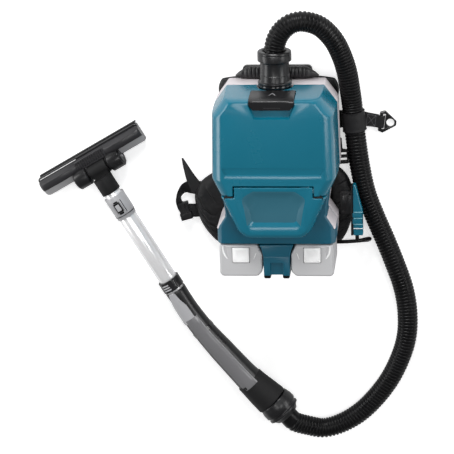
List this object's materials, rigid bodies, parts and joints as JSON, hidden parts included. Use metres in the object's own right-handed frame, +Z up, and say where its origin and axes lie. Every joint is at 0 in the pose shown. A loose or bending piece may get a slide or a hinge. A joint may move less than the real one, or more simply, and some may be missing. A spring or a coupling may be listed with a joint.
{
  "type": "backpack vacuum cleaner",
  "caption": "Cordless backpack vacuum cleaner laid flat, with hinged dust cover, slide-in batteries, padded harness, ribbed hose, telescopic wand and floor nozzle.",
  "frame": {"origin": "the floor plane under the back pads, on the unit's centre plane, at the lower back pad", "axes": "+Z up from the floor and out through the dust cover, +Y towards the hose inlet and carry handle, +X to the side of the control pod"},
  "size_m": [0.7071, 0.8487, 0.1884],
  "materials": {
    "teal_gloss": "gloss",
    "teal_dark": "satin",
    "white_plastic": "satin",
    "battery_grey": "satin",
    "black_plastic": "satin",
    "grey_plastic": "satin",
    "black_rubber": "matte",
    "bristle": "matte",
    "mesh_fabric": "matte",
    "webbing": "matte",
    "filter_fleece": "matte",
    "chrome_tube": "polished",
    "steel": "brushed",
    "motor_metal": "satin",
    "board_green": "satin"
  },
  "bodies": {
    "unit": {"back_pad_upper": "mesh_fabric", "back_pad_lower": "mesh_fabric", "shoulder_strap_left": "mesh_fabric", "shoulder_strap_right": "mesh_fabric", "hip_wing_left": "mesh_fabric", "hip_wing_right": "mesh_fabric", "belt_left": "webbing", "belt_fold_left": "webbing", "hose_band": "webbing", "back_frame": "black_plastic", "carry_handle": "black_plastic", "inlet_port": "black_plastic", "fan_shroud": "black_plastic", "battery_dock_left": "black_plastic", "battery_dock_right": "black_plastic", "waist_buckle": "black_plastic", "strap_adjuster": "black_plastic", "ring_buckle": "black_plastic", "pod_clip": "black_plastic", "cable_gland": "black_plastic", "handle_cuff": "black_plastic", "handle_shell": "black_plastic", "control_cable": "black_rubber", "hose": "black_rubber", "rear_shell": "white_plastic", "bag_collar": "white_plastic", "filter_cassette": "filter_fleece", "dust_bag": "filter_fleece", "front_panel": "teal_gloss", "control_pod": "teal_gloss", "motor_housing": "teal_dark", "stand_foot": "teal_dark", "grip_inlay": "grey_plastic", "tube_collar": "grey_plastic", "tube_outer": "chrome_tube", "hinge_pins": "steel", "motor": "motor_metal", "control_board": "board_green"},
    "cover": {"dust_cover": "teal_gloss", "cover_gasket": "black_rubber"},
    "latch": {"cover_latch": "black_plastic"},
    "rotor": {"fan_impeller": "white_plastic", "motor_shaft": "steel"},
    "battery_l": {"battery_left": "battery_grey"},
    "battery_r": {"battery_right": "battery_grey"},
    "battery_key_l": {"battery_button_left": "white_plastic"},
    "battery_key_r": {"battery_button_right": "white_plastic"},
    "cuff": {"inlet_cuff": "black_plastic"},
    "extension": {"tube_inner": "chrome_tube", "nozzle_neck": "black_plastic"},
    "nozzle": {"nozzle_body": "black_plastic", "sole_plate": "grey_plastic", "brush_strips": "bristle", "nozzle_axle": "steel"},
    "wheel_l": {"wheel_left": "black_plastic"},
    "wheel_r": {"wheel_right": "black_plastic"},
    "collar_key": {"collar_button": "black_plastic"},
    "bleed_ring": {"air_slider": "grey_plastic"},
    "power_key": {"power_button": "teal_gloss"},
    "mode_key": {"mode_button": "teal_gloss"}
  },
  "joints": [
    {"name": "cover_hinge", "type": "hinge", "parent": "unit", "child": "cover", "pos_m": [0, -0.02925, 0.185], "axis": [1, 0, 0], "range_deg": [0, 85]},
    {"name": "latch_hinge", "type": "hinge", "parent": "cover", "child": "latch", "pos_m": [0, 0.1494, 0.132], "axis": [1, 0, 0], "range_deg": [-60, 0], "stiffness_Nm_per_rad": 0.05},
    {"name": "rotor_spin", "type": "hinge", "parent": "unit", "child": "rotor", "pos_m": [0, -0.05, 0.094], "axis": [0, 1, 0], "continuous": true},
    {"name": "battery_left_slide", "type": "slide", "parent": "unit", "child": "battery_l", "axis": [0, 0, 1], "range_m": [0, 0.11]},
    {"name": "battery_left_key", "type": "slide", "parent": "battery_l", "child": "battery_key_l", "axis": [0, -1, 0], "range_m": [0, 0.005], "stiffness_N_per_m": 500},
    {"name": "battery_right_slide", "type": "slide", "parent": "unit", "child": "battery_r", "axis": [0, 0, 1], "range_m": [0, 0.11]},
    {"name": "battery_right_key", "type": "slide", "parent": "battery_r", "child": "battery_key_r", "axis": [0, -1, 0], "range_m": [0, 0.005], "stiffness_N_per_m": 500},
    {"name": "cuff_swivel", "type": "hinge", "parent": "unit", "child": "cuff", "pos_m": [0, 0.165, 0.092], "axis": [0, 1, 0], "continuous": true},
    {"name": "wand_extension", "type": "slide", "parent": "unit", "child": "extension", "axis": [-0.503, 0.8643, 0], "range_m": [0, 0.11]},
    {"name": "nozzle_tilt", "type": "hinge", "parent": "extension", "child": "nozzle", "pos_m": [-0.3383, -0.0263, 0.0185], "axis": [0.8643, 0.503, 0], "range_deg": [0, 75]},
    {"name": "wheel_left_spin", "type": "hinge", "parent": "nozzle", "child": "wheel_l", "pos_m": [-0.3383, -0.0263, 0.0185], "axis": [0.8643, 0.503, 0], "continuous": true},
    {"name": "wheel_right_spin", "type": "hinge", "parent": "nozzle", "child": "wheel_r", "pos_m": [-0.3383, -0.0263, 0.0185], "axis": [0.8643, 0.503, 0], "continuous": true},
    {"name": "collar_key_press", "type": "slide", "parent": "unit", "child": "collar_key", "axis": [0, 0, -1], "range_m": [0, 0.0015], "stiffness_N_per_m": 500},
    {"name": "bleed_ring_turn", "type": "hinge", "parent": "unit", "child": "bleed_ring", "pos_m": [-0.20952, -0.24756, 0.034], "axis": [-0.503, 0.8643, 0], "range_deg": [0, 50]},
    {"name": "power_key_press", "type": "slide", "parent": "unit", "child": "power_key", "axis": [0, 0, -1], "range_m": [0, 0.001], "stiffness_N_per_m": 500},
    {"name": "mode_key_press", "type": "slide", "parent": "unit", "child": "mode_key", "axis": [0, 0, -1], "range_m": [0, 0.001], "stiffness_N_per_m": 500}
  ]
}
